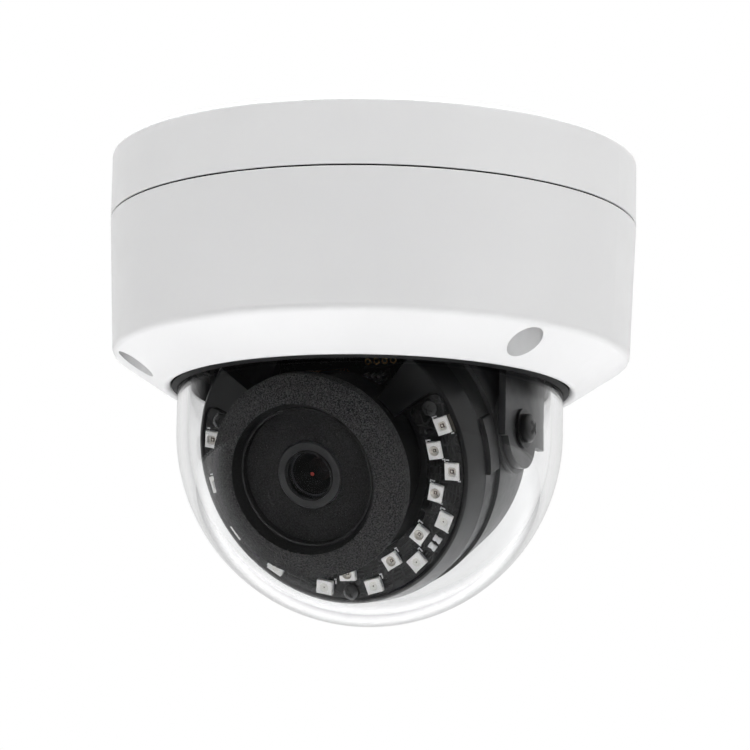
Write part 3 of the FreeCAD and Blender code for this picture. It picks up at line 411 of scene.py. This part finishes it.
def dome_window():
    """A half ball of even wall under a straight neck and a flange, with eased edges."""
    low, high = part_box("dome_bubble")
    flange = high.x * 1000
    outside = DOME_RADIUS
    inside = DOME_RADIUS - DOME_WALL
    bottom = low.z * 1000
    middle = bottom + outside
    top = high.z * 1000
    seat = top - DOME_FLANGE
    ease = 0.2
    near_pole = -88.5
    mesh = bmesh.new()
    outer = [(0, bottom)] + arc((0, middle), outside, near_pole, 0, 90)
    inner = arc((0, middle), inside, 0, near_pole, 90) + [(0, bottom + DOME_WALL)]
    edge = [(outside, seat - ease), (outside + ease, seat), (flange - ease, seat),
            (flange, seat + ease), (flange, top - ease), (flange - ease, top),
            (inside + ease, top), (inside, top - ease)]
    spin(mesh, outer + edge + inner, 256)
    made = piece("dome_window", mesh, [dome_clear], "cover")
    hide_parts("dome_bubble")


dome_window()


# ------------------------------------------------------------------ foam ring

def foam_profile():
    """Outside wall, rounded shoulder, front face that follows the dome, and the inner bevel."""
    reach = math.hypot(15.1, 33.1)
    face_outer, face_inner, face_steps = 20.35, 15.35, 24
    shoulder = (face_outer, math.sqrt(reach ** 2 - face_outer ** 2))
    corners = [(14.1, 27.6), (20.4, 27.6), (20.65, 27.9), (20.65, 29.7), (20.5, 30.15),
               shoulder]
    for step in range(1, face_steps):
        radius = face_outer + (face_inner - face_outer) * step / face_steps
        corners.append((radius, math.sqrt(reach ** 2 - radius ** 2) - 0.03))
    corners += [(15.1, 32.95), (14.9, 32.7), (14.12, 31.15)]
    points = []
    for here, there in zip(corners, corners[1:] + corners[:1]):
        parts = max(1, round(math.dist(here, there) / 0.24))
        for part in range(parts):
            share = part / parts
            points.append((here[0] + (there[0] - here[0]) * share,
                           here[1] + (there[1] - here[1]) * share))
    return points


def foam_ring():
    """The ring with a pitted skin. Its hidden faces are drawn in, clear of what they touch."""
    mesh = bmesh.new()
    spin(mesh, foam_profile(), 480)
    bmesh.ops.recalc_face_normals(mesh, faces=mesh.faces)
    for vert in mesh.verts:
        radius = math.hypot(vert.co.x, vert.co.y)
        hidden = vert.co.z < 28.2 or radius < 14.6
        cell = noise.noise(vert.co * 1.9) + 0.6 * noise.noise(vert.co * 4.3)
        push = -0.02 if hidden else -0.05 + 0.075 * cell
        vert.co += vert.normal * push
    for face in mesh.faces:
        # Faces on the inner bevel take the darker foam: a smoother skin plus painted shade for the
        # shadowed recess.
        middle = face.calc_center_median()
        on_bevel = math.hypot(middle.x, middle.y) < 15.05
        face.material_index = 1 if on_bevel else 0
    made = piece("foam_ring_soft", mesh, [black_foam, foam_skin_painted_shade], "camera_ball",
                 BALL)
    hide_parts("foam_ring")


foam_ring()


# ------------------------------------------------------------------ lamps

def lamp(mesh, seat, kind):
    """A surface-mount lamp 3.5 x 2.8 mm: moulded body, end terminals, well and chip. Material
    0 is the body, 1 the well, 2 a filled well, 3 the chip and 4 bare metal."""
    well = {"round": 1.02, "square": 0.95, "plain": 0.98}[kind]
    small = well * (0.72 if kind == "round" else 0.86)
    floor = 0.50 if kind != "plain" else 0.98
    half_length, half_width, chamfer = 1.70, 1.38, 0.06
    body_low, body_top = 0.22, 1.08
    steps = 32
    rim, cup, outer_top, outer_low = [], [], [], []
    for step in range(steps):
        turn = 2 * math.pi * step / steps
        across, along = math.cos(turn), math.sin(turn)
        stretch = 1 / max(abs(across), abs(along))
        corner = min(stretch, 1.18) if kind == "square" else 1.0
        rim.append(mesh.verts.new((across * well * corner, along * well * corner, body_top)))
        cup.append(mesh.verts.new((across * small * corner, along * small * corner, floor)))
        outer_top.append(mesh.verts.new((across * stretch * (half_length - chamfer),
                                         along * stretch * (half_width - chamfer), body_top)))
        outer_low.append(mesh.verts.new((across * stretch * half_length,
                                         along * stretch * half_width, body_top - 0.10)))
    foot = [mesh.verts.new((vert.co.x, vert.co.y, body_low)) for vert in outer_low]
    middle = mesh.verts.new((0, 0, floor))
    base = mesh.verts.new((0, 0, body_low))
    made = rim + cup + outer_top + outer_low + foot + [middle, base]
    for step in range(steps):
        after = (step + 1) % steps
        for low, high in ((foot, outer_low), (outer_low, outer_top), (outer_top, rim)):
            mesh.faces.new((low[step], low[after], high[after], high[step]))
        face = mesh.faces.new((rim[step], rim[after], cup[after], cup[step]))
        face.material_index = 1 if kind == "round" else 0
        face = mesh.faces.new((cup[step], cup[after], middle))
        face.material_index = 2 if kind == "plain" else 1
        mesh.faces.new((foot[after], foot[step], base))
    bmesh.ops.transform(mesh, matrix=seat, verts=made)
    for side in (-1, 1):
        slab(mesh, 0.45, 2.1, 0.04, 0.34, seat, 4, 0.04, (side * 1.55, 0))
        slab(mesh, 0.10, 1.5, 0.30, 0.72, seat, 4, 0.02, (side * 1.69, 0))
    if kind == "plain":
        slab(mesh, 0.24, 0.24, floor - 0.01, floor + 0.03, seat, 3, 0.0)
        slab(mesh, 0.5, 0.05, floor - 0.01, floor + 0.02, seat, 1, 0.0, (0.3, 0.16))
        return
    size = 0.80 if kind == "square" else 0.62
    slab(mesh, size, size, floor, floor + 0.16, seat, 3, 0.02, (0.0, 0.05))
    slab(mesh, size * 0.5, size * 0.5, floor + 0.15, floor + 0.17, seat, 1, 0.0, (0.0, 0.05))
    slab(mesh, 0.42, 0.06, floor + 0.15, floor + 0.20, seat, 1, 0.0, (0.24, 0.14))
    slab(mesh, 0.30, 0.30, floor, floor + 0.05, seat, 4, 0.02, (-0.45, -0.35))


def lamp_spots():
    """Radius, angle from the bottom and kind of each of the 19 lamps."""
    spots = [(INNER_CIRCLE, 0, "round")]
    for side in (1, -1):
        spots += [(OUTER_CIRCLE, turn * side, "square" if turn > 70 else "plain")
                  for turn in OUTER_LAMPS]
        spots += [(INNER_CIRCLE, turn * side, "round") for turn in INNER_LAMPS]
    return spots


def lamps():
    mesh = bmesh.new()
    for radius, turn, kind in lamp_spots():
        lamp(mesh, board_seat(radius, turn), kind)
    made = piece("lamp_packages", mesh, [lamp_white, lamp_cup, lamp_cream, lamp_die, solder],
                 "camera_ball", BALL)
    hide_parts("infrared_leds")


lamps()


# ------------------------------------------------------------------ lamp board details

def ribbon(mesh, radius, start, end, width, low, high, step=2.0):
    """A flat strip that follows a circle about the lens, in degrees from the bottom."""
    count = max(2, round(abs(end - start) / step) + 1)
    before = None
    for index in range(count):
        angle = math.radians(start + (end - start) * index / (count - 1))
        corners = []
        for reach, height in ((-width / 2, low), (width / 2, low), (width / 2, high),
                              (-width / 2, high)):
            corners.append(mesh.verts.new(((radius + reach) * math.sin(angle),
                                           -(radius + reach) * math.cos(angle), height)))
        if before is None:
            mesh.faces.new(corners)
        else:
            for side in range(4):
                after = (side + 1) % 4
                mesh.faces.new((before[side], before[after], corners[after], corners[side]))
        before = corners
    mesh.faces.new(before[::-1])


def board_tracks():
    """Tracks between the lamps of each circle, in degrees from the bottom on either side."""
    mesh = bmesh.new()
    top = BOARD_FRONT + 0.035
    low = BOARD_FRONT - 0.02
    for side in (1, -1):
        for start, end in ((16.0, 32.5), (40.5, 44.5), (54.0, 56.5), (64.0, 79.0), (87.0, 99.5)):
            for offset in (-0.55, 0.15, 0.85):
                ribbon(mesh, OUTER_CIRCLE + offset, side * start, side * end, 0.3, low, top)
        for start, end in ((4.6, 21.4), (30.6, 42.9), (52.1, 66.9), (76.1, 88.4)):
            for offset in (-0.9, -0.2, 0.5):
                ribbon(mesh, INNER_CIRCLE + offset, side * start, side * end, 0.3, low, top)
    piece("lamp_board_tracks", mesh, [track_black], "camera_ball", BALL)


def board_print():
    """White corner ticks beside each lamp."""
    mesh = bmesh.new()
    high = 0.05
    for radius, turn, kind in lamp_spots():
        seat = board_seat(radius, turn)
        slab(mesh, 0.26, 0.70, 0.0, high, seat, 0, 0.0, (2.08, 1.10))
        slab(mesh, 0.60, 0.26, 0.0, high, seat, 0, 0.0, (1.92, 1.66))
        slab(mesh, 0.26, 0.60, 0.0, high, seat, 0, 0.0, (-2.08, -1.20))
    piece("lamp_board_print", mesh, [print_white], "camera_ball", BALL)


def resistor_chips():
    """The two chip resistors: a pale body between soldered ends."""
    mesh = bmesh.new()
    for turn in (50.7, 46.6):
        seat = board_seat(26.5, turn)
        slab(mesh, 1.00, 0.50, 0.03, 0.42, seat, 1, 0.03)
        for side in (-1, 1):
            slab(mesh, 1.24, 0.58, 0.0, 0.47, seat, 0, 0.08, (0, side * 0.52))
    made = piece("resistor_chips", mesh, [solder_tip, print_white], "camera_ball",
                 BALL)
    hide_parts("lamp_board_resistors")


def tape_patch():
    """A strip of insulating tape over the wires at the board's end."""
    mesh = bmesh.new()
    ribbon(mesh, 27.0, 107.0, 99.5, 2.6, BOARD_FRONT + 0.03, BOARD_FRONT + 0.12, step=0.7)
    piece("insulating_tape", mesh, [tape_amber], "camera_ball", BALL)


board_tracks()
board_print()
resistor_chips()
tape_patch()


# ------------------------------------------------------------------ sensor board details

def plated_pads():
    """Four rounded rings of plating at the board's upper edge."""
    mesh = bmesh.new()
    for step in range(4):
        spot = (2.3 + 1.9 * step, 15.9, 0.0)
        spin(mesh, [(0.40, 0.0), (0.75, 0.0), (0.75, 0.08), (0.70, 0.14), (0.46, 0.14),
                    (0.40, 0.08)], 40, shift=spot)
    made = piece("plated_pads", mesh, [pad_gold], "camera_ball", BALL)
    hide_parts("solder_pads")


plated_pads()


# ------------------------------------------------------------------ cross-recess screws

def mesh_object(mesh):
    """A scratch object for a modifier, which `carved` removes again."""
    data = bpy.data.meshes.new("scratch")
    mesh.to_mesh(data)
    mesh.free()
    made = bpy.data.objects.new("scratch", data)
    bpy.context.scene.collection.objects.link(made)
    return made


def carved(mesh, tools):
    """The mesh with the closed meshes in `tools` taken out of it."""
    solid = mesh_object(mesh)
    cutters = [mesh_object(tool) for tool in tools]
    for cutter in cutters:
        cut = solid.modifiers.new("cut", "BOOLEAN")
        cut.operation = "DIFFERENCE"
        cut.solver = "EXACT"
        cut.object = cutter
    ready = solid.evaluated_get(bpy.context.evaluated_depsgraph_get())
    result = bmesh.new()
    result.from_mesh(ready.to_mesh())
    ready.to_mesh_clear()
    for scratch in [solid] + cutters:
        data = scratch.data
        bpy.data.objects.remove(scratch)
        bpy.data.meshes.remove(data)
    return result


def domed_screw(stem, head_radius, head_height, turn):
    """A pan-head screw that stands on z = 0: `stem` is the profile below the head. Its cross
    recess is two crossed slots and a square pit where they meet."""
    mesh = bmesh.new()
    wall = 0.35 * head_height
    crown = arc((0, wall), 1.0, 0, 90, 10)
    head = [(head_radius * across, wall + (along - wall) * (head_height - wall))
            for across, along in crown]
    head[-1] = (0, head_height)
    spin(mesh, stem + [(head_radius, 0)] + head, 64)
    bmesh.ops.recalc_face_normals(mesh, faces=mesh.faces)
    tools = []
    for length, width, floor, side in ((1.15, 0.30, 0.42, 0), (1.15, 0.30, 0.42, 90),
                                       (0.44, 0.44, 0.30, 45)):
        tool = bmesh.new()
        slab(tool, length * head_radius, width * head_radius, floor * head_height,
             head_height + 1, Matrix.Rotation(math.radians(turn + side), 4, "Z"))
        tools.append(tool)
    return carved(mesh, tools)


def placed_screws(name, node, body, finish, seats, stem, head_radius, head_height):
    """One piece of equal screws in place of a CAD node; a seat is (turn of recess, frame)."""
    mesh = bmesh.new()
    for turn, seat in seats:
        one = domed_screw(stem, head_radius, head_height, turn)
        bmesh.ops.transform(one, matrix=seat, verts=one.verts)
        data = bpy.data.meshes.new("scratch")
        one.to_mesh(data)
        one.free()
        mesh.from_mesh(data)
        bpy.data.meshes.remove(data)
    made = piece(name, mesh, [finish], body, BALL)
    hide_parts(node)


def screws():
    board_screws = [(26.9, 0), (25.0, 112.6), (25.0, -112.6)]
    seats = [(20 + turn, board_seat(radius, turn, BOARD_FRONT + 0.02))
             for radius, turn in board_screws]
    placed_screws("lamp_board_pan_screws", "lamp_board_screws", "camera_ball", screw_black,
                  seats, [(0, -2.6), (0.8, -2.6), (0.8, 0)], 1.65, 1.0)
    seats = []
    for side in (1, -1):
        outwards = Matrix.Rotation(math.radians(90 * side), 4, "Y")
        seats.append((25, Matrix.Translation((side * TILT_HEAD_SEAT, 0, 0)) @ outwards))
    placed_screws("tilt_pan_screws", "tilt_screws", "tilt", washer_black, seats,
                  [(0, -4.0), (1.5, -4.0), (1.5, -2.2), (2.0, -2.2), (2.0, 0)], 2.9, 1.75)


screws()


# ------------------------------------------------------------------ inside the lens

def lens_rings():
    """Stepped baffles in the barrel's cone, a red disc that is a painted reflection of a lamp in
    the lens coating, and an iris.
    """
    mesh = bmesh.new()
    sleeve = [(4.26, 27.55), (1.60, 22.04)]
    for step in range(8):
        height = 22.10 + step * 0.68
        radius = 1.46 + step * 0.33
        sleeve += [(radius, height), (radius + 0.28, height + 0.64)]
    spin(mesh, sleeve, 96)
    piece("lens_baffles", mesh, [lens_black], "camera_ball", BALL)
    # A small red disc set inside the lens as a painted reflection of the coating's glint.
    glint = bmesh.new()
    spin(glint, [(0, 22.12), (0.40, 22.12), (0.40, 22.16), (0, 22.16)], 24,
         shift=(-1.5, -0.85, 3.3))
    piece("painted_lens_glint", glint, [painted_glint_red], "camera_ball", BALL)
    iris = bmesh.new()
    spin(iris, [(1.05, 22.02), (1.55, 22.02), (1.55, 22.16), (1.05, 22.10)], 96)
    piece("lens_iris", iris, [satin_black], "camera_ball", BALL)


lens_rings()


# ------------------------------------------------------------------ stage, camera and light

# Reflections find the studio dark in this direction of the world, as if a card stood in front
# of the dome. No card is modelled: `unreflected` does it by the depth of the ray.
DARK_SIDE = (0.34, -0.92, -0.20)
FLOOR_HEIGHT = -0.30
FLOOR_REACH = 4.0


def unreflected(tree, place, dome, within):
    """Full value for what is seen directly or through glass. In reflections the studio is dark
    on its front side and light at its sides and back: `dome` holds the dark value, the light
    value and where each is reached for the dome's own reflections, and `within` holds them for
    the reflections on the parts behind the dome."""
    side = tree.nodes.new("ShaderNodeVectorMath")
    side.operation = "DOT_PRODUCT"
    side.inputs[1].default_value = DARK_SIDE
    tree.links.new(place, side.inputs[0])
    on_dome = between(tree, side.outputs["Value"], *dome)
    on_parts = between(tree, side.outputs["Value"], *within)
    path = tree.nodes.new("ShaderNodeLightPath")
    reflected = tree.nodes.new("ShaderNodeMix")
    tree.links.new(between(tree, path.outputs["Transmission Depth"], 0.0, 1.0, 2.5, 3.5),
                   reflected.inputs["Factor"])
    tree.links.new(on_dome, reflected.inputs["A"])
    tree.links.new(on_parts, reflected.inputs["B"])
    mix = tree.nodes.new("ShaderNodeMix")
    tree.links.new(between(tree, path.outputs["Glossy Depth"], 0.0, 1.0, 0.0, 1.0),
                   mix.inputs["Factor"])
    mix.inputs["A"].default_value = 1.0
    tree.links.new(reflected.outputs["Result"], mix.inputs["B"])
    return mix.outputs["Result"]


def backdrop():
    """Pale paper, which also glows where it is seen directly or in a reflection. The lights
    leave its far part dark, and the glow keeps that pale."""
    mesh = bmesh.new()
    bmesh.ops.create_grid(mesh, x_segments=8, y_segments=8, size=FLOOR_REACH)
    data = bpy.data.meshes.new("floor")
    mesh.to_mesh(data)
    mesh.free()
    paper, tree, shader = new_material("floor_paper")
    shade = noise_of(tree, place_of(tree), 2.0)
    mix = tree.nodes.new("ShaderNodeMix")
    mix.data_type = "RGBA"
    seen = unreflected(tree, place_of(tree), (0.0, 0.55, -0.1, -0.7), (0.05, 0.9, 0.3, -0.5))
    tree.links.new(seen, mix.inputs["Factor"])
    mix.inputs["A"].default_value = (0.002, 0.002, 0.002, 1)
    tree.links.new(tinted(tree, shade, grey(0.88), grey(0.90)), mix.inputs["B"])
    tree.links.new(mix.outputs["Result"], shader.inputs["Base Color"])
    shader.inputs["Roughness"].default_value = 0.9
    path = tree.nodes.new("ShaderNodeLightPath")
    glow = tree.nodes.new("ShaderNodeMath")
    glow.operation = "MULTIPLY"
    tree.links.new(seen, glow.inputs[0])
    tree.links.new(between(tree, path.outputs["Diffuse Depth"], 0.8, 0.0, 0.0, 1.0),
                   glow.inputs[1])
    tree.links.new(glow.outputs["Value"], shader.inputs["Emission Strength"])
    shader.inputs["Emission Color"].default_value = (1, 1, 1, 1)
    data.materials.append(paper)
    made = bpy.data.objects.new("floor", data)
    made.location = (0, 0, FLOOR_HEIGHT)
    bpy.context.scene.collection.objects.link(made)


def camera():
    """The photograph's view: an aim at the housing, then a small yaw, pitch and roll that place
    the object in the frame."""
    azimuth, elevation = math.radians(25.2), math.radians(-11.329)
    distance = 0.73822
    target = Vector((0, 0, -0.035))
    back = Vector((math.sin(azimuth) * math.cos(elevation),
                   -math.cos(azimuth) * math.cos(elevation), math.sin(elevation)))
    forward = -back
    right = forward.cross(Vector((0, 0, 1))).normalized()
    upward = right.cross(forward)
    for first, second, angle in (("f", "r", 0.07), ("f", "u", -0.791), ("r", "u", 1.059)):
        turn = math.radians(angle)
        axes = {"f": forward, "r": right, "u": upward}
        one = axes[first] * math.cos(turn) + axes[second] * math.sin(turn)
        two = axes[second] * math.cos(turn) - axes[first] * math.sin(turn)
        axes[first], axes[second] = one, two
        forward, right, upward = axes["f"], axes["r"], axes["u"]
    data = bpy.data.cameras.new("camera")
    data.lens = 169.65
    data.sensor_width = 36.0
    data.clip_start = 0.01
    made = bpy.data.objects.new("camera", data)
    turn = Matrix((right, upward, -forward)).transposed()
    made.matrix_world = Matrix.Translation(target + back * distance) @ turn.to_4x4()
    bpy.context.scene.collection.objects.link(made)
    bpy.context.scene.camera = made


def area_light(name, at, towards, size, power):
    """A soft box of so many metres and watts."""
    data = bpy.data.lights.new(name, "AREA")
    data.shape = "RECTANGLE"
    data.size, data.size_y = size
    data.energy = power
    made = bpy.data.objects.new(name, data)
    aim = Vector(towards) - Vector(at)
    made.location = at
    made.rotation_mode = "QUATERNION"
    made.rotation_quaternion = aim.to_track_quat("-Z", "Y")
    made.visible_camera = False
    bpy.context.scene.collection.objects.link(made)


def lighting():
    """Three soft boxes. The white world is only seen and reflected, it lights nothing matt."""
    world = bpy.data.worlds.new("studio")
    world.use_nodes = True
    background = world.node_tree.nodes["Background"]
    background.inputs["Color"].default_value = (1, 1, 1, 1)
    tree = world.node_tree
    around = tree.nodes.new("ShaderNodeTexCoord").outputs["Generated"]
    tree.links.new(unreflected(tree, around, (0.02, 0.85, -0.42, -0.82), (0.07, 1.0, 0.75, -0.1)),
                   background.inputs["Strength"])
    world.cycles_visibility.diffuse = False
    bpy.context.scene.world = world
    area_light("overhead_box", (0, 0.0, 1.1), (0, 0, 0), (1.2, 1.2), 52.0)
    area_light("right_box", (1.15, -0.15, 0.95), (0, 0, -0.05), (0.5, 0.5), 5.0)
    area_light("left_box", (-1.05, -0.60, 0.95), (0, 0, -0.05), (0.5, 0.5), 3.5)
    bpy.context.scene.view_settings.view_transform = "Standard"


backdrop()
camera()
lighting()
